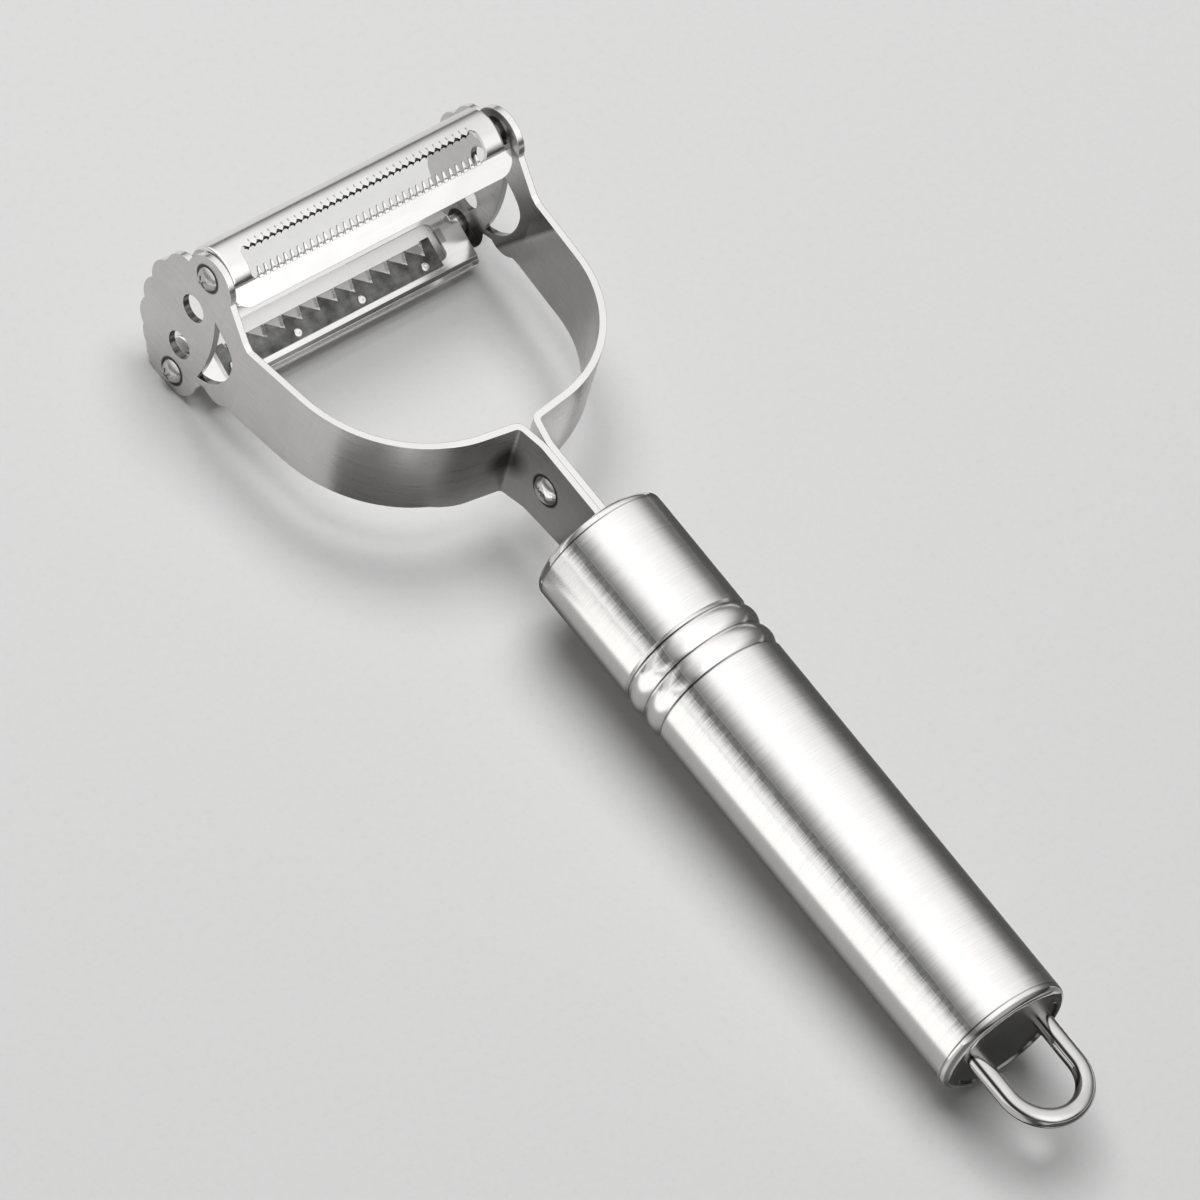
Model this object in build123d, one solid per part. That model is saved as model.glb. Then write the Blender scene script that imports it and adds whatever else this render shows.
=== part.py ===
"""Steel vegetable peeler with a tubular handle, a two-part bow and two swinging blades.

Every piece is drawn about the handle axis: the handle runs along Y with the neck rim at
Y = 0, the head points to +Y, and +Z is up. The head is bent nose-down against the handle.
At the end the whole peeler is tipped until the ears and the tail cap rest on Z = 0.
"""

import os
from math import asin, atan2, cos, degrees, radians, sin, tan

from build123d import *

# Handle
HANDLE_RADIUS = 10.0
HANDLE_LENGTH = 87.9
HANDLE_WALL = 0.8
GROOVE_PLACES = (19.8, 23.35, 26.9)
GROOVE_DEPTH = 0.5
GROOVE_FLANK = 0.45
BEAD_RISE = 0.25

# Neck cap, and the plug behind it that holds the tangs
NECK_CAP = 1.1
NECK_ROUNDING = 0.95
PLUG_LENGTH = 14.0
PLUG_RADIUS = HANDLE_RADIUS - HANDLE_WALL
TANG_PIN_RADIUS = 1.25
TANG_PIN_HALF = 7.5
TANG_PIN_PLACE = -6.5

# Tail cap and hanging loop
TAIL_CAP = 1.4
TAIL_ROUNDING = 1.3
TAIL_FLOOR = 1.0
TAIL_SPIGOT = 6.0
TAIL_SPIGOT_WALL = 1.4
TAIL_DISH = 0.3
TAIL_RIM = 1.7
LOOP_WIRE = 1.36
LOOP_HALF_WIDTH = 5.95
LOOP_RISE = 0.8
LOOP_REACH = 14.5
LOOP_INSERT = 3.0

# Strip of each half: tang, bow and ear
STRIP = 1.0
HEAD_TILT = 6.29
TANG_INSERT = 10.0
TANG_TOP = 5.4
TANG_BOTTOM = -5.9
TANG_ROOT = 2.5
BEND_PLACE = 17.2
BEND_GAP = 1.0
BEND_RADIUS = 1.7
BEND_TOP = 7.3
BEND_BOTTOM = -5.8
TANG_CLOSED = 12.6
TANG_CLOSED_RADIUS = 6.0
BOW_RISE = 8.0
BOW_FLARE = 6.0
BOW_RADIUS = 19.3
BOW_START = 18.6
BOW_TOP = 7.5
BOW_BOTTOM = -4.9
KINK_PLACE = 45.0
KINK_RADIUS = 1.2
EAR_INSIDE = 24.75

# Ear plate in the head frame: lobes are (y, z, radius)
TOP_LOBE = (54.4, 11.8, 4.4)
FRONT_LOBES = (
    (58.9, 8.7, 3.5),
    (61.0, 5.2, 3.5),
    (61.6, 1.0, 3.5),
    (61.3, -2.7, 3.5),
    (60.0, -5.4, 3.4),
    (58.4, -7.4, 3.7),
)
BOTTOM_LOBE = (56.1, -7.1, 4.2)
REAR_LOBE = (48.6, -2.6, 3.35)
SHOULDER = ((46.0, 8.1), (50.2, 12.3))
PEELER_AXIS = (54.94, 12.6)
JULIENNE_AXIS = (56.48, -8.37)
EAR_HOLES = ((55.9, 5.4), (56.5, -2.9))
EAR_HOLE_RADIUS = 2.1
CRESCENT_TIP = (51.7, 7.0)
CRESCENT_REAR = ((49.2, 5.6), (47.1, 3.6), (46.9, 0.8), (48.4, -2.6))
CRESCENT_TOE = (52.1, -4.9)
CRESCENT_FRONT = (51.1, 1.1)

# Blade sheet: each section is drawn about its own pivot axis
SHEET = 0.6
DRUM_CENTRE = (0.9, -2.0)
DRUM_RADIUS = 4.6
DRUM_FRONT = -5.0
DRUM_SET_IN = 0.6
DRUM_FOLD = 0.5
TAB_BOTTOM = DRUM_CENTRE[1] + DRUM_RADIUS * sin(radians(DRUM_FRONT))
FLANGE_ROOT = 10.0
SLOT_CORNER = 1.0

# Peeler blade: flange runs are (length, slope in degrees)
PEELER_END_GAP = 0.3
PEELER_HALF = EAR_INSIDE - PEELER_END_GAP
PEELER_SLOT_MARGIN = 3.85
PEELER_FAR = 94.0
PEELER_CREASE = 155.0
PEELER_SLOPE = 40.0
PEELER_RUNS = ((3.2, PEELER_SLOPE),)
PEELER_LIP_CORNER = 2.8
PEELER_TEETH = 34
PEELER_TOOTH = 0.5

# Julienne blade: the flange ends in a step down and a narrow rim
JULIENNE_END_GAP = 1.4
JULIENNE_HALF = EAR_INSIDE - JULIENNE_END_GAP
JULIENNE_SLOT_MARGIN = 4.05
JULIENNE_FAR = 90.0
JULIENNE_CREASE = 116.0
JULIENNE_SLOPE = 24.5
JULIENNE_RUNS = ((4.95, JULIENNE_SLOPE), (0.65, 56.0), (0.6, 5.0))
JULIENNE_LIP_CORNER = 0.55
RELIEF_DEPTH = 3.5

# Julienne comb, lying on the flange
COMB_LEFT = 3.15 - JULIENNE_HALF
COMB_RIGHT = JULIENNE_HALF - 5.75
COMB_SHEET = 0.5
COMB_HEIGHT = 4.2
COMB_FINGER = 1.84
TOOTH_COUNT = 11
TOOTH_START = COMB_LEFT + 2.08
TOOTH_PITCH = (COMB_RIGHT - COMB_FINGER - TOOTH_START) / TOOTH_COUNT
TOOTH_HEIGHT = 1.95
TOOTH_LEAN = 0.5
COMB_TAB_RISE = 0.2
RIVET_COUNT = 4
FIRST_RIVET = COMB_LEFT + 1.5
LAST_RIVET = COMB_RIGHT - 2.7
RIVET_OFFSET = 0.95
RIVET_HEAD = 0.65
RIVET_SHANK = 0.42
RIVET_RISE = 0.25
RIVET_EYE = 0.25

# Blade pivots
PIVOT_HEAD = 1.75
PIVOT_DOME = 1.15
PIVOT_SHANK = 1.1
PIVOT_COLLAR = 1.5
PIVOT_JOURNAL = 0.8
PIVOT_PLAY = 0.06
END_PLAY = 0.1
PIVOT_PEEN = 1.3
PIVOT_PEEN_LENGTH = 0.8
CROSS_WIDTH = 0.4
CROSS_DEPTH = 0.35

# Rivet through the two tangs
TANG_RIVET_AT = (9.74, -0.5)
TANG_RIVET_HEAD = 2.1
TANG_RIVET_DOME = 1.1
TANG_RIVET_SHANK = 1.3

REACH = 80.0


def rounded_path(points, radii):
    """Straight runs through the points, each inner corner turned with its own radius."""
    corners = [Vector(*p) for p in points]
    start = corners[0]
    edges = []
    for before, corner, after, radius in zip(corners, corners[1:], corners[2:], radii):
        back = (before - corner).normalized()
        ahead = (after - corner).normalized()
        half = radians(back.get_angle(ahead)) / 2
        reach = radius / tan(half)
        middle = corner + (back + ahead).normalized() * (radius / sin(half) - radius)
        edges.append(Line(start, corner + back * reach))
        edges.append(ThreePointArc(corner + back * reach, middle, corner + ahead * reach))
        start = corner + ahead * reach
    edges.append(Line(start, corners[-1]))
    return edges


def strip_face(edges, thickness, side):
    """Flat face of a sheet that lies on one side of an open path."""
    path = Wire(edges)
    return make_face(path.offset_2d(thickness, kind=Kind.INTERSECTION, side=side).edges())


def along_x(face, start, end):
    """Solid between two X positions, from a face whose x and y are Y and Z."""
    return extrude(Plane.YZ.offset(start) * face, end - start)


def disc_x(centre, radius, start, end):
    """Cylinder along X."""
    return along_x(Pos(*centre) * Circle(radius), start, end)


def turned_x(profile, domes=()):
    """Turned piece about X: (x, radius) steps, closed by a dome where one is named."""
    edges = []
    for start, end in zip(profile, profile[1:]):
        if (start, end) in domes:
            radius, height = abs(start[1] - end[1]), abs(start[0] - end[0])
            crown = (radius**2 + height**2) / (2 * height)
            edges.append(RadiusArc(start, end, crown))
        else:
            edges.append(Line(start, end))
    edges.append(Line(profile[-1], profile[0]))
    return revolve(make_face(edges), Axis.X)


def polar(centre, radius, angle):
    """Point at an angle in degrees on a circle."""
    return (centre[0] + radius * cos(radians(angle)), centre[1] + radius * sin(radians(angle)))


def to_head(y, z):
    """Handle-frame point as seen in the tilted head frame."""
    tilt = radians(HEAD_TILT)
    return (cos(tilt) * y - sin(tilt) * z, sin(tilt) * y + cos(tilt) * z)


def handle_tube():
    """Tube with three turned grooves and two rounded beads between them."""
    valley = HANDLE_RADIUS - GROOVE_DEPTH
    crest = HANDLE_RADIUS + BEAD_RISE
    first, last = GROOVE_PLACES[0], GROOVE_PLACES[-1]
    outside = [
        Polyline(
            (HANDLE_RADIUS, -NECK_CAP),
            (HANDLE_RADIUS, GROOVE_FLANK - first),
            (valley, -first),
        )
    ]
    for place, following in zip(GROOVE_PLACES, GROOVE_PLACES[1:]):
        middle = -(place + following) / 2
        outside.append(ThreePointArc((valley, -place), (crest, middle), (valley, -following)))
    outside.append(
        Polyline(
            (valley, -last),
            (HANDLE_RADIUS, -last - GROOVE_FLANK),
            (HANDLE_RADIUS, -HANDLE_LENGTH),
            (PLUG_RADIUS, -HANDLE_LENGTH),
            (PLUG_RADIUS, -NECK_CAP),
            (HANDLE_RADIUS, -NECK_CAP),
        )
    )
    return revolve(make_face(outside), Axis.Y)


def tang_slot(depth):
    """Space taken up by the two tangs inside the handle."""
    height = TANG_TOP - TANG_BOTTOM
    slot = Box(2 * STRIP, depth, height)
    return Pos(0, -depth / 2, (TANG_TOP + TANG_BOTTOM) / 2) * slot


def neck_cap():
    disc = Pos(0, -NECK_CAP / 2, 0) * Rot(90, 0, 0) * Cylinder(HANDLE_RADIUS, NECK_CAP)
    rim = disc.edges().filter_by(GeomType.CIRCLE).sort_by(Axis.Y)[-1]
    return fillet(rim, NECK_ROUNDING) - tang_slot(TANG_INSERT)


def tang_pin():
    return disc_x((TANG_PIN_PLACE, 0), TANG_PIN_RADIUS, -TANG_PIN_HALF, TANG_PIN_HALF)


def tang_plug():
    centre = -NECK_CAP - PLUG_LENGTH / 2
    plug = Pos(0, centre, 0) * Rot(90, 0, 0) * Cylinder(PLUG_RADIUS, PLUG_LENGTH)
    bore = disc_x((TANG_PIN_PLACE, 0), TANG_PIN_RADIUS, -HANDLE_RADIUS, HANDLE_RADIUS)
    return plug - tang_slot(TANG_INSERT) - bore


def loop_legs():
    """Hanging loop: a U of round wire set into the tail cap."""
    root = -HANDLE_LENGTH - TAIL_CAP + LOOP_INSERT
    turn = -HANDLE_LENGTH - LOOP_REACH + LOOP_HALF_WIDTH
    path = Pos(0, 0, LOOP_RISE) * Wire(
        [
            Line((-LOOP_HALF_WIDTH, root), (-LOOP_HALF_WIDTH, turn)),
            ThreePointArc(
                (-LOOP_HALF_WIDTH, turn),
                (0, turn - LOOP_HALF_WIDTH),
                (LOOP_HALF_WIDTH, turn),
            ),
            Line((LOOP_HALF_WIDTH, turn), (LOOP_HALF_WIDTH, root)),
        ]
    )
    section = Plane((-LOOP_HALF_WIDTH, root, LOOP_RISE), z_dir=(0, -1, 0)) * Circle(LOOP_WIRE)
    return sweep(section, path=path)


def tail_cap():
    """Polished cap with a rounded rim, a shallow dish and a spigot inside the tube."""
    end = -HANDLE_LENGTH - TAIL_CAP
    floor = end + TAIL_DISH
    dish = HANDLE_RADIUS - TAIL_RIM
    bore = PLUG_RADIUS - TAIL_SPIGOT_WALL
    rim = rounded_path(
        (
            (HANDLE_RADIUS, -HANDLE_LENGTH),
            (HANDLE_RADIUS, end),
            (dish, end),
        ),
        (TAIL_ROUNDING,),
    )
    inside = Polyline(
        (dish, end),
        (dish - TAIL_DISH, floor),
        (0, floor),
        (0, floor + TAIL_FLOOR + TAIL_DISH),
        (bore, floor + TAIL_FLOOR + TAIL_DISH),
        (bore, -HANDLE_LENGTH + TAIL_SPIGOT),
        (PLUG_RADIUS, -HANDLE_LENGTH + TAIL_SPIGOT),
        (PLUG_RADIUS, -HANDLE_LENGTH),
        (HANDLE_RADIUS, -HANDLE_LENGTH),
    )
    return revolve(make_face(rim + [inside]), Axis.Y) - loop_legs()


def strip_plan():
    """Right strip seen from above: tang, bend, bow and ear as one folded sheet."""
    rise = tan(radians(BOW_RISE))
    flare = tan(radians(BOW_FLARE))
    crossing = BEND_PLACE + (EAR_INSIDE - KINK_PLACE * flare - BEND_GAP) * rise
    corner_y = crossing / (1 - rise * flare)
    corner = (EAR_INSIDE - (KINK_PLACE - corner_y) * flare, corner_y)
    points = (
        (0, -TANG_INSERT - REACH / 4),
        (0, TANG_CLOSED),
        (BEND_GAP, BEND_PLACE),
        corner,
        (EAR_INSIDE, KINK_PLACE),
        (EAR_INSIDE, REACH),
    )
    radii = (TANG_CLOSED_RADIUS, BEND_RADIUS, BOW_RADIUS, KINK_RADIUS)
    return strip_face(rounded_path(points, radii), STRIP, Side.RIGHT)


def lobe(y, z, radius):
    return Pos(y, z) * Circle(radius)


def strip_side():
    """Outline of the strip seen from the side, in the head frame."""
    tang = Polygon(
        to_head(-TANG_INSERT, TANG_TOP),
        to_head(-TANG_INSERT, TANG_BOTTOM),
        to_head(TANG_ROOT, TANG_BOTTOM),
        (BEND_PLACE, BEND_BOTTOM),
        (BEND_PLACE, BEND_TOP),
        align=None,
    )
    bow = Polygon(
        (BEND_PLACE, BEND_TOP),
        (BEND_PLACE, BEND_BOTTOM),
        (BOW_START, BOW_BOTTOM),
        (REAR_LOBE[0], BOW_BOTTOM),
        SHOULDER[1],
        SHOULDER[0],
        (KINK_PLACE, BOW_TOP),
        (BOW_START, BOW_TOP),
        align=None,
    )
    core = Polygon(
        (REAR_LOBE[0], BOW_BOTTOM),
        BOTTOM_LOBE[:2],
        *[place[:2] for place in reversed(FRONT_LOBES)],
        TOP_LOBE[:2],
        SHOULDER[1],
        align=None,
    )
    outline = tang + bow + core
    for place in (TOP_LOBE, *FRONT_LOBES, BOTTOM_LOBE, REAR_LOBE):
        outline += lobe(*place)
    for centre in EAR_HOLES:
        outline -= lobe(*centre, EAR_HOLE_RADIUS)
    for centre in (PEELER_AXIS, JULIENNE_AXIS):
        outline -= lobe(*centre, PIVOT_SHANK)
    outline -= make_face(
        [
            Spline(CRESCENT_TIP, *CRESCENT_REAR, CRESCENT_TOE),
            ThreePointArc(CRESCENT_TOE, CRESCENT_FRONT, CRESCENT_TIP),
        ]
    )
    return outline


def right_frame():
    sheet = extrude(Plane.XY.offset(-REACH) * strip_plan(), 2 * REACH)
    strip = sheet & along_x(strip_side(), -REACH, REACH)
    strip = Rot(-HEAD_TILT, 0, 0) * strip
    return strip - tang_pin() - disc_x(TANG_RIVET_AT, TANG_RIVET_SHANK, -REACH, REACH)


def tang_rivet():
    """Rivet through both tangs, domed on each side."""
    tip = STRIP + TANG_RIVET_DOME
    profile = (
        (-tip, 0),
        (-STRIP, TANG_RIVET_HEAD),
        (-STRIP, TANG_RIVET_SHANK),
        (STRIP, TANG_RIVET_SHANK),
        (STRIP, TANG_RIVET_HEAD),
        (tip, 0),
    )
    domes = (profile[:2], profile[-2:])
    return Pos(0, *TANG_RIVET_AT) * turned_x(profile, domes)


def drum_point(angle):
    return polar(DRUM_CENTRE, DRUM_RADIUS, angle)


def flange_plane(crease, slope):
    """Upper face of a flange: x along X, y from the lip toward the drum, 0 at the crease."""
    angle = radians(slope)
    upward = (0, -sin(angle), cos(angle))
    return Plane((0, *drum_point(crease)), x_dir=(1, 0, 0), z_dir=upward)


def rolled_drum(crease, half):
    """Rolled sheet closed by a tab at each end, with the folds between them rounded."""
    arc = CenterArc(DRUM_CENTRE, DRUM_RADIUS, DRUM_FRONT, crease - DRUM_FRONT)
    straight = half - DRUM_FOLD
    drum = along_x(strip_face([arc], SHEET, Side.LEFT), -straight, straight)
    disc = Pos(*DRUM_CENTRE) * Circle(DRUM_RADIUS)
    keep = Pos(0, TAB_BOTTOM + DRUM_RADIUS) * Rectangle(4 * DRUM_RADIUS, 2 * DRUM_RADIUS)
    tab = along_x(disc & keep, half - SHEET, half)
    rim = tab.edges().filter_by(GeomType.CIRCLE).sort_by(Axis.X)[-1]
    tab = fillet(rim, DRUM_FOLD)
    return drum + tab + mirror(tab, Plane.YZ)


def flange_sheet(crease, runs, half, lip_corner):
    """Flange of straight runs from the crease to the lip, with a root that follows the drum."""
    edges = [CenterArc(DRUM_CENTRE, DRUM_RADIUS, crease - FLANGE_ROOT, FLANGE_ROOT)]
    place = drum_point(crease)
    for length, slope in runs:
        following = polar(place, length, 180 + slope)
        edges.append(Line(place, following))
        place = following
    flange = along_x(strip_face(edges, SHEET, Side.LEFT), -half, half)
    corners = flange.edges().filter_by(lambda e: abs(e.length - SHEET) < 0.01).sort_by(Axis.Y)[:2]
    return fillet(corners, lip_corner)


def blade_shell(crease, runs, half, lip_corner):
    """Drum and flange as one sheet, bored for the pivots."""
    drum = rolled_drum(crease, half - DRUM_SET_IN)
    shell = drum + flange_sheet(crease, runs, half, lip_corner)
    return shell - disc_x((0, 0), PIVOT_JOURNAL + PIVOT_PLAY, -half, half)


def saw_line(start, end, level, depth, count):
    """Zigzag points from start to end with tips standing off the level."""
    pitch = (end - start) / count
    points = [(start, level)]
    for step in range(count):
        points.append((start + (step + 0.5) * pitch, level + depth))
        points.append((start + (step + 1) * pitch, level))
    return points


def peeler_slot():
    """Cutter for the long slot with fine teeth along both edges."""
    low = drum_point(PEELER_CREASE)
    high = drum_point(PEELER_FAR)
    chord = Vector(0, high[0] - low[0], high[1] - low[1])
    plane = Plane((0, *low), x_dir=(1, 0, 0), z_dir=Vector(1, 0, 0).cross(chord))
    width = chord.length
    half = PEELER_HALF - PEELER_SLOT_MARGIN
    inner = half - SLOT_CORNER
    near = saw_line(-inner, inner, 0, PEELER_TOOTH, PEELER_TEETH)
    far = saw_line(inner, -inner, width, -PEELER_TOOTH, PEELER_TEETH)
    corner = SLOT_CORNER
    face = make_face(
        [
            Polyline(*near),
            RadiusArc((inner, 0), (half, corner), -corner),
            Line((half, corner), (half, width - corner)),
            RadiusArc((half, width - corner), (inner, width), -corner),
            Polyline(*far),
            RadiusArc((-inner, width), (-half, width - corner), -corner),
            Line((-half, width - corner), (-half, corner)),
            RadiusArc((-half, corner), (-inner, 0), -corner),
        ]
    )
    return extrude(plane * face, DRUM_RADIUS / 2, both=True)


def julienne_slot():
    """Cutter for the narrow slot ahead of the comb, with a relief at each end of the comb."""
    plane = flange_plane(JULIENNE_CREASE, JULIENNE_SLOPE)
    far = drum_point(JULIENNE_FAR)
    near = drum_point(JULIENNE_CREASE)
    width = ((far[0] - near[0]) ** 2 + (far[1] - near[1]) ** 2) ** 0.5
    height = width + RELIEF_DEPTH
    half = JULIENNE_HALF - JULIENNE_SLOT_MARGIN
    slot = Pos(0, (width - RELIEF_DEPTH) / 2) * RectangleRounded(2 * half, height, SLOT_CORNER)
    middle = (COMB_LEFT + COMB_RIGHT) / 2
    tongue = Pos(middle, -RELIEF_DEPTH) * Rectangle(COMB_RIGHT - COMB_LEFT, 2 * RELIEF_DEPTH)
    return extrude(plane * (slot - tongue), DRUM_RADIUS / 2, both=True)


def peeler_blade():
    shell = blade_shell(PEELER_CREASE, PEELER_RUNS, PEELER_HALF, PEELER_LIP_CORNER)
    return shell - peeler_slot()


def comb_outline():
    """Comb on the flange with y = 0 at the tooth tips, drawn from its right end to its left."""
    tips = []
    for step in reversed(range(TOOTH_COUNT)):
        valley = TOOTH_START + step * TOOTH_PITCH
        tips.append((valley + TOOTH_LEAN, 0))
        tips.append((valley, -TOOTH_HEIGHT))
    last = TOOTH_START + TOOTH_COUNT * TOOTH_PITCH
    return Polygon(
        (COMB_RIGHT, -COMB_HEIGHT),
        (COMB_RIGHT, COMB_TAB_RISE),
        (last + TOOTH_LEAN, COMB_TAB_RISE),
        (last, -TOOTH_HEIGHT),
        *tips,
        (TOOTH_START - TOOTH_LEAN, COMB_TAB_RISE),
        (COMB_LEFT, COMB_TAB_RISE),
        (COMB_LEFT, -COMB_HEIGHT),
        align=None,
    )


def rivet_places():
    """X positions of the comb's rivets, evenly spaced."""
    spacing = (LAST_RIVET - FIRST_RIVET) / (RIVET_COUNT - 1)
    return [FIRST_RIVET + step * spacing for step in range(RIVET_COUNT)]


def rivet_spots(radius):
    spots = Sketch()
    for place in rivet_places():
        spots += Pos(place, RIVET_OFFSET - COMB_HEIGHT) * Circle(radius)
    return spots


def julienne_blade():
    shell = blade_shell(JULIENNE_CREASE, JULIENNE_RUNS, JULIENNE_HALF, JULIENNE_LIP_CORNER)
    plane = flange_plane(JULIENNE_CREASE, JULIENNE_SLOPE)
    holes = extrude(plane * rivet_spots(RIVET_SHANK), 2 * SHEET, both=True)
    return shell - julienne_slot() - holes


def julienne_comb():
    plane = flange_plane(JULIENNE_CREASE, JULIENNE_SLOPE)
    return extrude(plane * (comb_outline() - rivet_spots(RIVET_SHANK)), COMB_SHEET)


def comb_rivet(place):
    """Hollow rivet with a low rounded head above the comb and one below the flange."""
    stack = SHEET + COMB_SHEET
    shank = Pos(0, 0, COMB_SHEET - stack / 2) * Cylinder(RIVET_SHANK, stack)
    head = Pos(0, 0, COMB_SHEET + RIVET_RISE / 2) * Cylinder(RIVET_HEAD, RIVET_RISE)
    foot = Pos(0, 0, -SHEET - RIVET_RISE / 2) * Cylinder(RIVET_HEAD, RIVET_RISE)
    head = fillet(head.edges().filter_by(GeomType.CIRCLE).sort_by(Axis.Z)[-1], 0.8 * RIVET_RISE)
    eye = Pos(0, 0, COMB_SHEET + RIVET_RISE) * Cylinder(RIVET_EYE, 2 * RIVET_RISE)
    rivet = shank + head + foot - eye
    plane = flange_plane(JULIENNE_CREASE, JULIENNE_SLOPE)
    return plane * Pos(place, RIVET_OFFSET - COMB_HEIGHT, 0) * rivet


def right_pivot(blade_half):
    """Pivot in the right ear: domed head outside, shank, collar, journal and peened end."""
    drum_end = blade_half - DRUM_SET_IN
    outside = EAR_INSIDE + STRIP
    collar_end = drum_end + END_PLAY
    journal_end = drum_end - SHEET - END_PLAY
    profile = (
        (journal_end - PIVOT_PEEN_LENGTH, 0),
        (journal_end - PIVOT_PEEN_LENGTH, PIVOT_PEEN),
        (journal_end, PIVOT_PEEN),
        (journal_end, PIVOT_JOURNAL),
        (collar_end, PIVOT_JOURNAL),
        (collar_end, PIVOT_COLLAR),
        (EAR_INSIDE, PIVOT_COLLAR),
        (EAR_INSIDE, PIVOT_SHANK),
        (outside, PIVOT_SHANK),
        (outside, PIVOT_HEAD),
        (outside + PIVOT_DOME, 0),
    )
    pivot = turned_x(profile, (profile[-2:],))
    cross = Box(2 * CROSS_DEPTH, CROSS_WIDTH, PIVOT_HEAD)
    cross += Box(2 * CROSS_DEPTH, PIVOT_HEAD, CROSS_WIDTH)
    return pivot - Pos(outside + PIVOT_DOME, 0, 0) * Rot(45, 0, 0) * cross


def resting_place():
    """Tips the peeler until the ears and the tail cap touch Z = 0, centred under its box."""
    tilt = radians(HEAD_TILT)
    y, z, ear_radius = BOTTOM_LOBE
    ear = (cos(tilt) * y + sin(tilt) * z, cos(tilt) * z - sin(tilt) * y)
    tail_radius = TAIL_ROUNDING
    tail = (-HANDLE_LENGTH - TAIL_CAP + tail_radius, tail_radius - HANDLE_RADIUS)
    run = ear[0] - tail[0]
    drop = ear[1] - tail[1]
    gap = (run**2 + drop**2) ** 0.5
    lift = -atan2(drop, run) + asin((ear_radius - tail_radius) / gap)
    return Rot(degrees(lift), 0, 0)


def head_part(part, axis=(0, 0)):
    """Moves a head piece drawn about an axis into the handle frame."""
    return Rot(-HEAD_TILT, 0, 0) * Pos(0, *axis) * part


def all_pieces():
    """Every piece in the handle frame by node name."""
    frame = right_frame()
    peeler_pivot = right_pivot(PEELER_HALF)
    julienne_pivot = right_pivot(JULIENNE_HALF)
    pieces = {
        "handle_tube": handle_tube(),
        "neck_cap": neck_cap(),
        "tang_plug": tang_plug(),
        "tang_pin": tang_pin(),
        "tail_cap": tail_cap(),
        "hanging_loop": loop_legs(),
        "left_frame": mirror(frame, Plane.YZ),
        "right_frame": frame,
        "tang_rivet": tang_rivet(),
        "peeler_blade": head_part(peeler_blade(), PEELER_AXIS),
        "julienne_blade": head_part(julienne_blade(), JULIENNE_AXIS),
        "julienne_comb": head_part(julienne_comb(), JULIENNE_AXIS),
        "peeler_pivot_left": head_part(mirror(peeler_pivot, Plane.YZ), PEELER_AXIS),
        "peeler_pivot_right": head_part(peeler_pivot, PEELER_AXIS),
        "julienne_pivot_left": head_part(mirror(julienne_pivot, Plane.YZ), JULIENNE_AXIS),
        "julienne_pivot_right": head_part(julienne_pivot, JULIENNE_AXIS),
    }
    for number, place in enumerate(rivet_places(), 1):
        pieces[f"comb_rivet_{number}"] = head_part(comb_rivet(place), JULIENNE_AXIS)
    return pieces


def main():
    pieces = {name: resting_place() * part for name, part in all_pieces().items()}
    boxes = [part.bounding_box() for part in pieces.values()]
    back = min(box.min.Y for box in boxes)
    front = max(box.max.Y for box in boxes)
    shift = Pos(0, -(back + front) / 2, -min(box.min.Z for box in boxes))
    os.makedirs("parts", exist_ok=True)
    for name, part in pieces.items():
        solid = (shift * part).solid()
        export_step(solid, f"parts/{name}.step")


main()
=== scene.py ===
"""Looks of a double-headed vegetable peeler: steels, pale floor, soft studio light and camera."""

import math

import bmesh
import bpy
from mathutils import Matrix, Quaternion, Vector


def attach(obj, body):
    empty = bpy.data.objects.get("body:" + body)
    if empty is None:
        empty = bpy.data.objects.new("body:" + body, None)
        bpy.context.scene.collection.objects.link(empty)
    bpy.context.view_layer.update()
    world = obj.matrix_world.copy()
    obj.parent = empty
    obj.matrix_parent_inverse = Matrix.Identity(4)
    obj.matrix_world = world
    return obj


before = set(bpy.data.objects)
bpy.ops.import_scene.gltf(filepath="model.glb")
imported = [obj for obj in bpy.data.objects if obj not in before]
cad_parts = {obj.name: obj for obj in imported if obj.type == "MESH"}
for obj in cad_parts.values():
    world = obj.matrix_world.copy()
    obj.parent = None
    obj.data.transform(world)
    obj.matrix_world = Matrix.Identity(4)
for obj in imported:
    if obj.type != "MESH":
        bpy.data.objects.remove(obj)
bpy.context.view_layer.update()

MM = 0.001

# Camera: the photograph's angle round the peeler, in degrees and metres
AZIMUTH = -56.530
ELEVATION = 51.236
ROLL = 21.740
DISTANCE = 2.690
AIM = (-0.00411, 0.01251, 0.012)
LENS = 610.07

# Axis of the round handle, as the peeler lies: a point on it and its rise from the floor
HANDLE_ORIGIN = (0.0, 19.305 * MM, 14.541 * MM)
HANDLE_RISE = math.radians(2.966)
SEAM_ANGLE = math.radians(139.5)
BRUSH_TILT = 0.14

# Places along the handle, from its neck end: the grooves' valleys, and the joints of the tube with its caps
GROOVES = (-19.8 * MM, -23.35 * MM, -26.9 * MM)
CAP_JOINTS = (-1.2 * MM, -87.8 * MM)

# Light and colour: the steels and cards are a little warmer than a plain grey
WARMTH = 0.012
FLOOR_COLOUR = (0.735, 0.732, 0.730)
AMBIENT = 0.14
KEY_FROM = (0.06, 0.30, 1.0)
KEY_SIZE = 1.11
KEY_DISTANCE = 1.2
KEY_WATTS = 14.6

# The light tent as polished metal sees it, from the right-hand horizon over the top to the left-hand horizon:
# degrees round the handle's axis, and brightness
TENT = [
    (0, 0.10), (15, 0.22), (32, 0.62), (45, 0.92), (66, 1.08), (86, 1.22), (108, 1.25),
    (120, 1.12), (131, 0.66), (141, 0.35), (150, 0.18), (159, 0.20), (167, 0.62), (175, 1.1),
]
TENT_PEAK = 1.6

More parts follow.
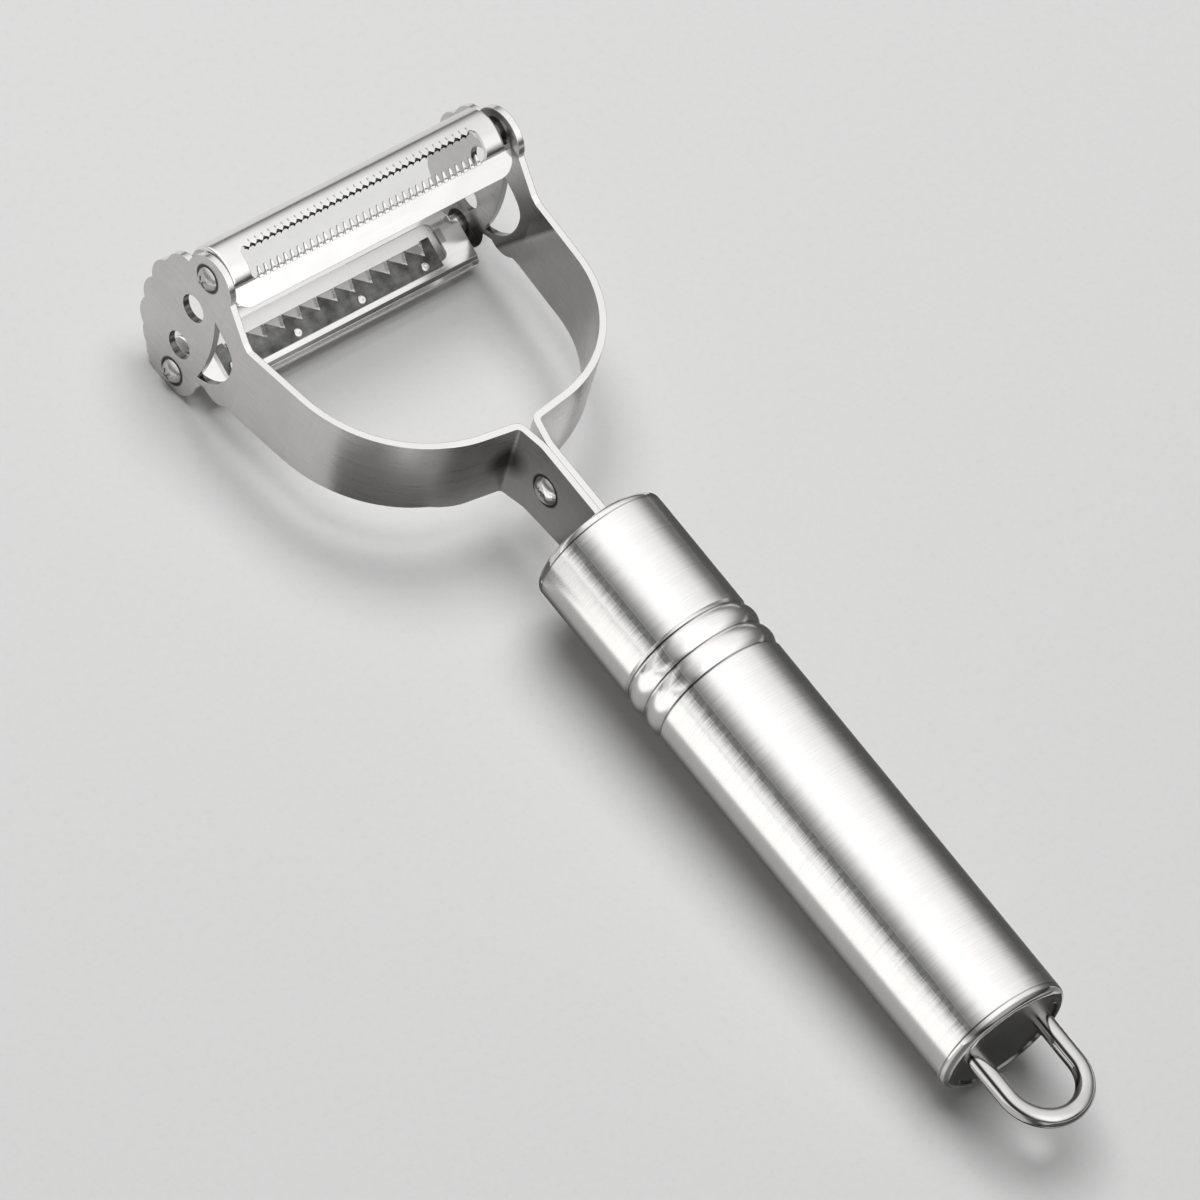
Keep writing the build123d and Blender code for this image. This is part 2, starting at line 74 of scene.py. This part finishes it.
# Reflection cards: their height over the floor, and the two ends, in metres, of those along the handle
CARD_HEIGHT = 0.4 * MM
TAIL_END, NECK_END = -0.066, 0.0225

# Fill between the blades: its middle, its length and width, and its power
HEAD_FILL_PLACE = (1.0 * MM, 77.3 * MM, 1.2 * MM)
HEAD_FILL_SIZE = (44 * MM, 4 * MM)
HEAD_FILL_WATTS = 0.0005

# Ear openings, as places (y, z) in the plane across the head: the round holes, the corners of the crescent's box,
# and how far along the peeler the ears start
EAR_HOLES = ((75.43 * MM, 16.69 * MM), (75.55 * MM, 8.37 * MM))
EAR_HOLE_RADIUS = 2.1 * MM
CRESCENT_BOX = ((65.9 * MM, 5.5 * MM), (72.5 * MM, 18.8 * MM))
EARS_FROM = 58 * MM

# Painted shade on the strips: a spot at the left tang's bend, and a band on the right ear's inner face, which starts
# at
# a slanting line: a point on it, the direction across it (both y, z), and how far right that face lies at least
BEND_SHADE = (-2.6 * MM, 35.6 * MM, 14.5 * MM)
EAR_SHADE = (63.5 * MM, 13.5 * MM)
EAR_SHADE_ACROSS = (0.868, 0.494)
EAR_SHADE_FROM = 22 * MM

# Fine teeth of the peeler blade's slot: how many in a row and their pitch, where the row's middle stands on the near
# edge, on the far edge and on top behind it, and the directions and thicknesses of the teeth, the lip and the ribs
TEETH = 34
TOOTH_PITCH = 1.153 * MM
NEAR_EDGE = Vector((0, 71.60 * MM, 24.11 * MM))
FAR_EDGE = Vector((0, 75.30 * MM, 26.36 * MM))
FAR_TOP = Vector((0, 75.80 * MM, 26.53 * MM))
FACET_UP = Vector((0, 0.8, 0.6))
FACET_OUT = Vector((0, -0.6, 0.8))
FACET_LIFT = 0.05 * MM
LIP_DOWN = Vector((0, -0.3, -0.954))
RIB_BACK = Vector((0, 1, 0.02))
TOOTH_THICKNESS = 0.28 * MM
LIP_THICKNESS = 0.2 * MM

# Their outlines, in millimetres: places along the head and away from the edge
NEAR_SIDE = [(0.40, -0.20), (0.27, 0.30), (0.22, 0.95), (0.14, 1.28)]
NEAR_TOOTH = NEAR_SIDE + [(0.0, 1.42)] + [(-across, reach) for across, reach in reversed(NEAR_SIDE)]
FAR_LIP = [(-0.58, 0.0), (-0.58, 0.26), (-0.22, 0.36), (0.0, 0.74), (0.22, 0.36), (0.58, 0.26), (0.58, 0.0)]
RIB = [(-0.06, 0.0), (-0.06, 0.42), (0.06, 0.42), (0.06, 0.0)]

# Where the blades get painted shade: half the slots' length, the peeler slot's middle, the heights and the end of
# its far edge, the height that only the peeler blade reaches, and the strip behind the comb (y, z)
SLOT_HALF = 20.2 * MM
SLOT_MIDDLE = 73.5 * MM
FAR_EDGE_HEIGHTS = (25.3 * MM, 26.41 * MM)
FAR_EDGE_END = 76.1 * MM
PEELER_FROM = 20 * MM
COMB_BACK = (73.9 * MM, 5.0 * MM)

PINS = ("peeler_pivot_left", "peeler_pivot_right", "julienne_pivot_left", "julienne_pivot_right")


class Shader:
    """A node tree with short calls for the nodes the materials share."""

    def __init__(self, owner):
        owner.use_nodes = True
        self.tree = owner.node_tree
        self.tree.nodes.clear()

    def add(self, kind, settings=None, **inputs):
        made = self.tree.nodes.new(kind)
        for name, value in (settings or {}).items():
            setattr(made, name, value)
        for name, value in inputs.items():
            self.put(made.inputs[name.replace("_", " ")], value)
        return made

    def put(self, socket, value):
        if isinstance(value, bpy.types.NodeSocket):
            self.tree.links.new(value, socket)
        else:
            socket.default_value = value

    def math(self, operation, *values, clamp=False):
        made = self.add("ShaderNodeMath", {"operation": operation, "use_clamp": clamp})
        for socket, value in zip(made.inputs, values):
            self.put(socket, value)
        return made.outputs[0]

    def remap(self, value, low, high, to_low=0.0, to_high=1.0):
        made = self.add("ShaderNodeMapRange")
        for socket, item in zip(made.inputs, (value, low, high, to_low, to_high)):
            self.put(socket, item)
        return made.outputs[0]

    def mix(self, share, first, second):
        made = self.add("ShaderNodeMix", {"data_type": "RGBA"})
        self.put(made.inputs["Factor"], share)
        self.put(made.inputs[6], first)
        self.put(made.inputs[7], second)
        return made.outputs[2]

    def noise(self, vector, scale, detail=2.0, roughness=0.5):
        place = self.add("ShaderNodeMapping", Vector=vector, Scale=scale)
        made = self.add("ShaderNodeTexNoise", Vector=place.outputs[0], Scale=1.0, Detail=detail,
                        Roughness=roughness)
        return made.outputs[0]

    def ramp(self, value, stops):
        made = self.add("ShaderNodeValToRGB", Fac=value)
        marks = made.color_ramp.elements
        while len(marks) < len(stops):
            marks.new(0.5)
        for mark, (place, shade) in zip(marks, stops):
            mark.position = place
            mark.color = (shade, shade, shade, 1.0)
        return made.outputs[0]

    def line(self, value, place, half, soft):
        """1 within half of a place along value, falling to 0 over soft."""
        off = self.math("ABSOLUTE", self.math("SUBTRACT", value, place))
        return self.remap(off, half, half + soft, 1.0, 0.0)

    def eased_edges(self, millimetres):
        """Normal that rolls over sharp edges, as a tumbled edge does."""
        made = self.add("ShaderNodeBevel", Radius=millimetres * MM)
        made.samples = 6
        return made.outputs[0]

    def parts(self, vector):
        return self.add("ShaderNodeSeparateXYZ", Vector=vector).outputs

    def facing(self, kind="True Normal"):
        return self.parts(self.add("ShaderNodeNewGeometry").outputs[kind])

    def cut_edge(self):
        """1 on the cut edges of the strips: level ones along the bow, and those round the ears."""
        place = self.parts(self.object_place())
        facing = self.facing()
        level = self.math("GREATER_THAN", self.math("ABSOLUTE", facing[2]), 0.5)
        ear = self.math("MULTIPLY", self.math("GREATER_THAN", place[1], EARS_FROM),
                        self.math("LESS_THAN", self.math("ABSOLUTE", facing[0]), 0.5))
        return self.math("MAXIMUM", level, ear)

    def reach_across(self, y, z, centre_y, centre_z):
        """Distance from an axis that runs along X."""
        across = self.math("SUBTRACT", y, centre_y)
        height = self.math("SUBTRACT", z, centre_z)
        squares = self.math("ADD", self.math("MULTIPLY", across, across), self.math("MULTIPLY", height, height))
        return self.math("SQRT", squares)

    def spot(self, place, centre, radius, soft):
        """1 within radius of a point, falling to 0 over soft."""
        reach = self.add("ShaderNodeVectorMath", {"operation": "DISTANCE"})
        self.put(reach.inputs[0], place)
        self.put(reach.inputs[1], centre)
        return self.remap(reach.outputs["Value"], radius, radius + soft, 1.0, 0.0)

    def flank(self):
        """1 on the faces that look along the head, such as tooth flanks."""
        return self.math("GREATER_THAN", self.math("ABSOLUTE", self.facing()[0]), 0.35)

    def object_place(self):
        return self.add("ShaderNodeTexCoord").outputs["Object"]

    def handle_place(self):
        """Coordinates with Y along the handle's axis and X, Z across it."""
        turned = {"vector_type": "TEXTURE"}
        return self.add("ShaderNodeMapping", turned, Vector=self.object_place(), Location=HANDLE_ORIGIN,
                        Rotation=(HANDLE_RISE, 0.0, 0.0)).outputs[0]

    def output(self, surface, kind="ShaderNodeOutputMaterial"):
        self.tree.links.new(surface, self.add(kind).inputs["Surface"])


def grey(value):
    return (value * (1 + WARMTH), value, value * (1 - WARMTH), 1.0)


def metal(shader, shade, roughness, bump=None, bump_height=1e-5, anisotropic=0.0, tangent=None, normal=None):
    colour = shader.mix(shade, grey(0.0), grey(1.0))
    surface = shader.add("ShaderNodeBsdfPrincipled", Base_Color=colour, Metallic=1.0, Roughness=roughness)
    surface.inputs["Anisotropic"].default_value = anisotropic
    surface.inputs["Anisotropic Rotation"].default_value = 0.25
    if tangent is not None:
        shader.put(surface.inputs["Tangent"], tangent)
    if bump is not None:
        relief = shader.add("ShaderNodeBump", Strength=1.0, Distance=bump_height, Height=bump)
        if normal is not None:
            shader.put(relief.inputs["Normal"], normal)
        shader.put(surface.inputs["Normal"], relief.outputs[0])
    shader.output(surface.outputs[0])


def handle_steel():
    """Steel tube brushed round its girth, with its lengthwise seam, a few fine scratches and painted shade in its
    creases.
    """
    made = bpy.data.materials.new("brushed_handle_steel")
    s = Shader(made)
    place = s.handle_place()
    x, y, z = s.parts(place)
    angle = s.math("ARCTAN2", z, x)
    brush = s.noise(place, (90, 5200, 90), detail=3.0, roughness=0.65)
    sweep = s.noise(place, (45, 700, 45), detail=2.0)
    streak = s.noise(place, (1900, 6, 1900), detail=1.0)
    streak = s.math("MULTIPLY", s.remap(streak, 0.66, 0.72), s.line(angle, math.radians(52), 0.20, 0.20))

    off_seam = s.math("ABSOLUTE", s.math("SUBTRACT", angle, SEAM_ANGLE))
    waver = s.math("MULTIPLY", s.math("SUBTRACT", s.noise(place, (0, 260, 0)), 0.5), 0.02)
    off_seam = s.math("ADD", off_seam, waver)
    seam = s.remap(off_seam, 0.050, 0.060, 1.0, 0.0)
    seam_edge = s.math("SUBTRACT", s.remap(off_seam, 0.046, 0.052), s.remap(off_seam, 0.056, 0.062), clamp=True)

    shade = s.remap(brush, 0.25, 0.75, 0.80, 0.90)
    shade = s.math("MULTIPLY", shade, s.remap(sweep, 0.3, 0.7, 0.98, 1.02))
    nicks = s.remap(s.noise(place, (900, 1500, 900), detail=2.0), 0.42, 0.62, 0.74, 0.96)
    shade = s.math("MULTIPLY", shade, s.mix(seam, (1.0, 1.0, 1.0, 1.0), nicks))
    shade = s.math("ADD", shade, s.math("MULTIPLY", seam_edge, 0.5), clamp=True)
    shade = s.math("ADD", shade, s.math("MULTIPLY", streak, 0.12), clamp=True)
    near_seam = s.line(angle, SEAM_ANGLE, 0.25, 0.45)
    # Painted shade: dark lines in the grooves' valleys and at the cap joints, deeper near the seam
    for along in GROOVES + CAP_JOINTS:
        dark = s.math("MULTIPLY", s.line(y, along, 0.07 * MM, 0.09 * MM), s.remap(near_seam, 0.0, 1.0, 0.45, 0.85))
        shade = s.math("MULTIPLY", shade, s.remap(dark, 0.0, 1.0, 1.0, 0.0))
    rough = s.remap(brush, 0.2, 0.8, 0.19, 0.26)
    around = s.add("ShaderNodeTangent", {"direction_type": "RADIAL", "axis": "Y"})
    strong = s.remap(near_seam, 0.0, 1.0, 0.35, 1.0)
    tilt = s.math("MULTIPLY", s.math("SUBTRACT", brush, 0.5), s.math("MULTIPLY", strong, BRUSH_TILT))
    lean = s.add("ShaderNodeVectorMath", {"operation": "SCALE"}, Scale=tilt)
    s.put(lean.inputs[0], around.outputs[0])
    tilted = s.add("ShaderNodeVectorMath", {"operation": "ADD"})
    s.put(tilted.inputs[0], lean.outputs[0])
    s.put(tilted.inputs[1], s.add("ShaderNodeNewGeometry").outputs["Normal"])
    metal(s, shade, rough, bump=brush, bump_height=0.0008 * MM, anisotropic=0.75, tangent=around.outputs[0],
          normal=tilted.outputs[0])
    return made


def polished_steel(name, bead=False, wire=False):
    """Bright polished steel with faint turning marks and dulled spots.

    A bead has a painted dark reflection ring at its turn and a satin end face darkened as painted shade, and a wire
    is duller, with a painted dark reflection line along it.
    """
    made = bpy.data.materials.new(name)
    s = Shader(made)
    place = s.object_place()
    dull = s.noise(place, (320, 320, 320), detail=4.0, roughness=0.6)
    fine = s.noise(place, (1800, 5200, 1800), detail=2.0)
    shade = s.remap(dull, 0.3, 0.7, 0.74, 0.84)
    rough = s.remap(dull, 0.3, 0.75, 0.05, 0.12)
    facing = s.facing("Normal")
    if bead:
        # Painted reflection: a dark ring round the bead's turn, picked by the way the surface faces
        shade = s.mix(s.line(facing[1], -0.60, 0.12, 0.16), shade, grey(0.22))
        # Painted shade: the flat end face is given a darker colour, and it is also rougher
        face = s.remap(facing[1], -0.990, -0.996)
        shade = s.mix(face, shade, grey(0.36))
        rough = s.math("ADD", rough, s.math("MULTIPLY", face, 0.30))
    if wire:
        shade = s.math("MULTIPLY", shade, 0.74)
        # Painted reflection: a dark line along the wire where it faces to the left
        shade = s.mix(s.line(facing[0], -0.70, 0.05, 0.09), shade, grey(0.10))
    metal(s, shade, rough, bump=fine, bump_height=0.0003 * MM)
    return made


def pin_centre(name):
    """Centre of a pin that runs along X, and its head's radius, from its own mesh."""
    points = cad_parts[name].bound_box
    low = [min(point[axis] for point in points) for axis in range(3)]
    high = [max(point[axis] for point in points) for axis in range(3)]
    return (low[1] + high[1]) / 2, (low[2] + high[2]) / 2, (high[2] - low[2]) / 2


def pin_steel():
    """Turned pin heads, polished but slightly dulled."""
    made = bpy.data.materials.new("polished_pin_steel")
    s = Shader(made)
    place = s.object_place()
    dull = s.noise(place, (700, 700, 700), detail=3.0)
    shade = s.remap(dull, 0.3, 0.7, 0.42, 0.62)
    metal(s, shade, s.remap(dull, 0.3, 0.75, 0.24, 0.34))
    return made


def strip_steel():
    """Satin strip of the two frames, with grain along it, faint cross marks, a painted highlight on the cut edges,
    and painted shade at bends, round pins and in the ear openings.
    """
    made = bpy.data.materials.new("satin_strip_steel")
    s = Shader(made)
    place = s.object_place()
    grain = s.noise(place, (120, 120, 4800), detail=3.0, roughness=0.6)
    across = s.noise(place, (2400, 2400, 60), detail=2.0)
    cloud = s.noise(place, (190, 190, 190), detail=3.0)
    shade = s.remap(grain, 0.25, 0.75, 0.55, 0.62)
    shade = s.math("MULTIPLY", shade, s.remap(cloud, 0.3, 0.7, 0.96, 1.04))
    shade = s.math("MULTIPLY", shade, s.remap(across, 0.3, 0.7, 0.985, 1.015))
    # Painted highlight: the cut edges get a near-white colour; their lower roughness further down is real
    edge = s.cut_edge()
    shade = s.mix(edge, shade, grey(0.86))
    x, y, z = s.parts(place)
    # Painted shade: a dark ring on the ears round each pin and rivet head
    for name in PINS + ("tang_rivet",):
        centre_y, centre_z, radius = pin_centre(name)
        reach = s.reach_across(y, z, centre_y, centre_z)
        shade = s.mix(s.line(reach, radius, 0.26 * MM, 0.30 * MM), shade, grey(0.05))
    # Painted shade on the walls of the ears' round holes
    for centre_y, centre_z in EAR_HOLES:
        wall = s.line(s.reach_across(y, z, centre_y, centre_z), EAR_HOLE_RADIUS, 0.1 * MM, 0.05 * MM)
        shade = s.mix(s.math("MULTIPLY", wall, edge), shade, grey(0.16))
    # Painted shade on the cut edges round the crescent opening
    low, high = CRESCENT_BOX
    inside = s.math("MULTIPLY", s.line(y, (low[0] + high[0]) / 2, (high[0] - low[0]) / 2, 0.1 * MM),
                    s.line(z, (low[1] + high[1]) / 2, (high[1] - low[1]) / 2, 0.1 * MM))
    shade = s.mix(s.math("MULTIPLY", inside, edge), shade, grey(0.25))
    # Painted shade: a dark spot at the left tang's bend
    shade = s.mix(s.spot(place, BEND_SHADE, 1.2 * MM, 2.4 * MM), shade, grey(0.14))
    # Painted shade: a dark band on the right ear's inner face
    looks_left = s.math("LESS_THAN", s.facing()[0], -0.5)
    inner = s.math("MULTIPLY", looks_left, s.math("GREATER_THAN", x, EAR_SHADE_FROM))
    slant = s.math("ADD", s.math("MULTIPLY", s.math("SUBTRACT", y, EAR_SHADE[0]), EAR_SHADE_ACROSS[0]),
                   s.math("MULTIPLY", s.math("SUBTRACT", z, EAR_SHADE[1]), EAR_SHADE_ACROSS[1]))
    band = s.math("MULTIPLY", s.remap(slant, -0.3 * MM, 0.3 * MM), s.remap(slant, 2.2 * MM, 6.0 * MM, 1.0, 0.0))
    shade = s.mix(s.math("MULTIPLY", inner, band), shade, grey(0.13))
    rough = s.remap(grain, 0.2, 0.8, 0.24, 0.36)
    rough = s.math("SUBTRACT", rough, s.math("MULTIPLY", edge, 0.10))
    metal(s, shade, rough, bump=grain, bump_height=0.0008 * MM, normal=s.eased_edges(0.14))
    return made


def blade_steel():
    """Pressed blade sheet, nearly mirror bright, with grain along its length, and painted shade on its tooth flanks
    and slot edges.
    """
    made = bpy.data.materials.new("bright_blade_steel")
    s = Shader(made)
    place = s.object_place()
    grain = s.noise(place, (60, 3600, 3600), detail=3.0)
    cloud = s.noise(place, (160, 300, 300), detail=3.0)
    shade = s.remap(cloud, 0.3, 0.7, 0.88, 0.95)
    x, y, z = s.parts(place)
    # Painted shade: the sheet darkens towards its right-hand end
    shade = s.math("MULTIPLY", shade, s.remap(x, -20 * MM, 20 * MM, 0.97, 0.86))
    inner = s.math("LESS_THAN", s.math("ABSOLUTE", x), SLOT_HALF)

    # Painted shade on the far edge of the peeler's slot, on its near teeth's flanks, and on the strip seen behind the
    # comb's teeth
    far = s.math("GREATER_THAN", y, SLOT_MIDDLE)
    low, high = FAR_EDGE_HEIGHTS
    below = s.math("MULTIPLY", s.math("LESS_THAN", z, high), s.math("LESS_THAN", y, FAR_EDGE_END))
    cut = s.math("MULTIPLY", s.math("MAXIMUM", s.flank(), below), far)
    cut = s.math("MULTIPLY", cut, s.math("GREATER_THAN", z, low))
    shade = s.mix(s.math("MULTIPLY", cut, inner), shade, grey(0.10))
    near = s.math("SUBTRACT", s.flank(), far, clamp=True)
    near = s.math("MULTIPLY", s.math("GREATER_THAN", z, PEELER_FROM), near)
    shade = s.mix(s.math("MULTIPLY", near, inner), shade, grey(0.42))
    behind = s.math("MULTIPLY", s.line(y, COMB_BACK[0], 0.9 * MM, 0.2 * MM),
                    s.line(z, COMB_BACK[1], 1.2 * MM, 0.3 * MM))
    shade = s.mix(s.math("MULTIPLY", behind, inner), shade, grey(0.42))
    rough = s.remap(grain, 0.2, 0.8, 0.12, 0.22)
    metal(s, shade, rough, bump=grain, bump_height=0.0004 * MM, normal=s.eased_edges(0.10))
    return made


def comb_steel():
    """Darker hardened strip of the cutting comb, smudged and finely ground, with a painted highlight on its tooth
    flanks.
    """
    made = bpy.data.materials.new("hardened_comb_steel")
    s = Shader(made)
    place = s.object_place()
    smudge = s.noise(place, (420, 420, 420), detail=4.0, roughness=0.6)
    grain = s.noise(place, (160, 3400, 3400), detail=2.0)
    shade = s.remap(smudge, 0.35, 0.68, 0.07, 0.20)
    # Painted highlight: the tooth flanks are near-white
    shade = s.mix(s.flank(), shade, grey(0.9))
    rough = s.remap(grain, 0.2, 0.8, 0.18, 0.32)
    metal(s, shade, rough, bump=grain, bump_height=0.0006 * MM)
    return made


def dress(names, material):
    for name in names:
        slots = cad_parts[name].data.materials
        slots.clear()
        slots.append(material)


def plate(mesh, outline, origin, along, depth):
    """Flat plate whose outline is given as places across the head and along a direction."""
    front = [mesh.verts.new(origin + Vector((across, 0, 0)) + along * reach) for across, reach in outline]
    back = [mesh.verts.new(corner.co + depth) for corner in front]
    mesh.faces.new(front)
    mesh.faces.new(reversed(back))
    for step in range(len(front)):
        mesh.faces.new((front[step - 1], front[step], back[step], back[step - 1]))


def slot_teeth(material):
    """Pressed teeth along the peeler blade's slot: long ones on its near edge, a lip and ribs on its far one."""
    mesh = bmesh.new()
    for step in range(TEETH):
        middle = Vector(((step + 0.5 - TEETH / 2) * TOOTH_PITCH, 0, 0))
        between = middle + Vector((TOOTH_PITCH / 2, 0, 0))
        for outline, origin, along, depth in (
            (NEAR_TOOTH, NEAR_EDGE + middle + FACET_OUT * FACET_LIFT, FACET_UP, FACET_OUT * -TOOTH_THICKNESS),
            (FAR_LIP, FAR_EDGE + middle, LIP_DOWN, Vector((0, LIP_THICKNESS, 0))),
            (RIB, FAR_TOP + between, RIB_BACK, Vector((0, 0, -LIP_THICKNESS))),
        ):
            plate(mesh, [(across * MM, reach * MM) for across, reach in outline], origin, along, depth)
    bmesh.ops.recalc_face_normals(mesh, faces=mesh.faces)
    data = bpy.data.meshes.new("slot_teeth")
    mesh.to_mesh(data)
    mesh.free()
    data.materials.append(material)
    made = bpy.data.objects.new("slot_teeth", data)
    bpy.context.scene.collection.objects.link(made)
    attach(made, "peeler")


def tent_light():
    """World light: even for matt surfaces and the camera, a tent with darker sides for metal."""
    world = bpy.data.worlds.new("studio_tent")
    bpy.context.scene.world = world
    s = Shader(world)
    x, y, z = s.parts(s.add("ShaderNodeTexCoord").outputs["Generated"])
    angle = s.math("ARCTAN2", s.math("MAXIMUM", z, 0.0), x)
    stops = [(degrees / 180, shade) for degrees, shade in TENT]
    tent = s.ramp(s.math("DIVIDE", angle, math.pi), [(place, shade / TENT_PEAK) for place, shade in stops])
    front = s.remap(y, -0.2, -0.7, 1.0, 1.3)
    low_front = s.math("MULTIPLY", s.remap(y, -0.68, -0.80), s.remap(z, 0.40, 0.20))
    front = s.math("MULTIPLY", front, s.remap(low_front, 0.0, 1.0, 1.0, 0.22))
    path = s.add("ShaderNodeLightPath")
    glossy = s.math("MULTIPLY", front, TENT_PEAK)
    strength = s.remap(path.outputs["Is Glossy Ray"], 0.0, 1.0, AMBIENT, glossy)
    colour = s.mix(path.outputs["Is Glossy Ray"], (1.0, 1.0, 1.0, 1.0), tent)
    surface = s.add("ShaderNodeBackground", Color=colour, Strength=strength)
    backdrop = s.add("ShaderNodeBackground", Color=(*FLOOR_COLOUR, 1.0), Strength=1.0)
    both = s.add("ShaderNodeMixShader")
    s.put(both.inputs[0], path.outputs["Is Camera Ray"])
    s.put(both.inputs[1], surface.outputs[0])
    s.put(both.inputs[2], backdrop.outputs[0])
    s.output(both.outputs[0], "ShaderNodeOutputWorld")


def area_lamp(name, shape, size, watts, place):
    """Lamp that looks down unless it is turned, and that metal doesn't reflect."""
    light = bpy.data.lights.new(name, "AREA")
    light.shape = shape
    light.size, light.size_y = size
    light.energy = watts
    lamp = bpy.data.objects.new(name, light)
    lamp.location = place
    lamp.visible_glossy = False
    bpy.context.scene.collection.objects.link(lamp)
    return lamp


def key_light():
    toward = Vector(KEY_FROM)
    place = Vector(AIM) + toward.normalized() * KEY_DISTANCE
    lamp = area_lamp("key", "DISK", (KEY_SIZE, KEY_SIZE), KEY_WATTS, place)
    lamp.rotation_mode = "QUATERNION"
    lamp.rotation_quaternion = toward.to_track_quat("Z", "Y")


def head_light():
    """Small fill between the blades, which keeps the floor seen through the lower one light."""
    area_lamp("head_fill", "RECTANGLE", HEAD_FILL_SIZE, HEAD_FILL_WATTS, HEAD_FILL_PLACE)


def plane(name, corners, height, material):
    mesh = bpy.data.meshes.new(name)
    mesh.from_pydata([(x, y, height) for x, y in corners], [], [(0, 1, 2, 3)])
    mesh.materials.append(material)
    made = bpy.data.objects.new(name, mesh)
    bpy.context.scene.collection.objects.link(made)
    return made


def floor():
    """Pale matt floor with a fine grain."""
    made = bpy.data.materials.new("pale_floor")
    s = Shader(made)
    place = s.object_place()
    grain = s.noise(place, (900, 900, 900), detail=3.0, roughness=0.7)
    shade = s.remap(grain, 0.3, 0.7, 0.97, 1.03)
    colour = s.mix(shade, (0.0, 0.0, 0.0, 1.0), (*FLOOR_COLOUR, 1.0))
    relief = s.add("ShaderNodeBump", Strength=0.3, Distance=0.05 * MM, Height=grain)
    surface = s.add("ShaderNodeBsdfPrincipled", Base_Color=colour, Roughness=0.9, Normal=relief.outputs[0])
    surface.inputs["Specular IOR Level"].default_value = 0.0
    s.output(surface.outputs[0])
    plane("floor", [(-3.0, -3.0), (3.0, -3.0), (3.0, 3.0), (-3.0, 3.0)], 0.0, made)


def card(name, corners, left, right, height=CARD_HEIGHT):
    """A flat reflection card beside the peeler, seen only by metal; its brightness goes from left to right."""
    material = bpy.data.materials.new(name)
    s = Shader(material)
    x = s.parts(s.object_place())[0]
    places = [corner[0] for corner in corners]
    strength = s.remap(x, min(places), max(places), left, right)
    s.output(s.add("ShaderNodeEmission", Color=grey(1.0), Strength=strength).outputs[0])
    made = plane(name, corners, height, material)
    made.visible_camera = False
    made.visible_diffuse = False
    made.visible_shadow = False
    made.visible_transmission = False


def strip_card(name, low, high, left, right, height=CARD_HEIGHT):
    """A card that is a rectangle between two corners."""
    card(name, [low, (high[0], low[1]), high, (low[0], high[1])], left, right, height)


def camera():
    made = bpy.data.objects.new("camera", bpy.data.cameras.new("camera"))
    bpy.context.scene.collection.objects.link(made)
    turn, rise = math.radians(AZIMUTH), math.radians(ELEVATION)
    back = Vector((math.sin(turn) * math.cos(rise), -math.cos(turn) * math.cos(rise), math.sin(rise)))
    made.location = Vector(AIM) + back * DISTANCE
    made.rotation_mode = "QUATERNION"
    made.rotation_quaternion = (-back).to_track_quat("-Z", "Y") @ Quaternion((0, 0, 1), math.radians(ROLL))
    made.data.lens = LENS
    made.data.clip_end = 20.0
    bpy.context.scene.camera = made


dress(["handle_tube"], handle_steel())
dress(["left_frame", "right_frame"], strip_steel())
bright_steel = blade_steel()
dress(["peeler_blade", "julienne_blade"], bright_steel)
slot_teeth(bright_steel)
dress(["julienne_comb"], comb_steel())
dress([
    "neck_cap", "tang_plug", "tang_pin", "tang_rivet",
    "comb_rivet_1", "comb_rivet_2", "comb_rivet_3", "comb_rivet_4",
], polished_steel("mirror_polished_steel"))
dress(["tail_cap"], polished_steel("turned_cap_steel", bead=True))
dress(["hanging_loop"], polished_steel("drawn_wire_steel", wire=True))
dress(PINS, pin_steel())

tent_light()
key_light()
head_light()
floor()
card("white_card", [(-1.200, TAIL_END), (-0.0260, TAIL_END), (-0.0260, NECK_END), (-1.200, 0.370)], 1.2, 1.2)
strip_card("turn_card", (-0.0260, TAIL_END), (-0.0225, NECK_END), 1.1, 0.44)
strip_card("under_card", (-0.0225, TAIL_END), (-0.0125, NECK_END), 0.44, 0.36)
strip_card("inner_card", (-0.0125, TAIL_END), (-0.0080, NECK_END), 0.36, 0.09)
strip_card("foot_card", (-0.0080, TAIL_END), (0.0125, NECK_END), 0.09, 0.08)
strip_card("edge_card", (0.0125, TAIL_END), (0.032, 0.036), 0.34, 0.14)
card("dark_card", [(0.032, TAIL_END), (1.200, TAIL_END), (1.200, 0.450), (0.032, 0.036)], 0.09, 0.09)
strip_card("bow_card", (-0.039, 0.0235), (-0.0125, 0.044), 0.13, 0.13)
strip_card("turn_shade_card", (-0.0125, NECK_END), (0.006, 0.0280), 0.10, 0.10)
strip_card("neck_card", (-0.0125, 0.0280), (0.010, 0.043), 0.30, 0.30)
strip_card("right_card", (0.0120, 0.0530), (0.0215, 0.066), 0.30, 0.30)
strip_card("bend_card", (0.0160, 0.0268), (0.0262, 0.0338), 1.0, 1.0, height=2 * CARD_HEIGHT)
strip_card("ear_card", (0.0080, 0.0680), (0.0210, 0.0810), 0.22, 0.22)
strip_card("tail_card", (-0.008, -0.084), (0.028, -0.0705), 0.05, 0.05)
strip_card("front_card", (-0.010, -0.150), (0.060, -0.0885), 0.12, 0.12)
camera()
bpy.context.scene.view_settings.view_transform = "Standard"
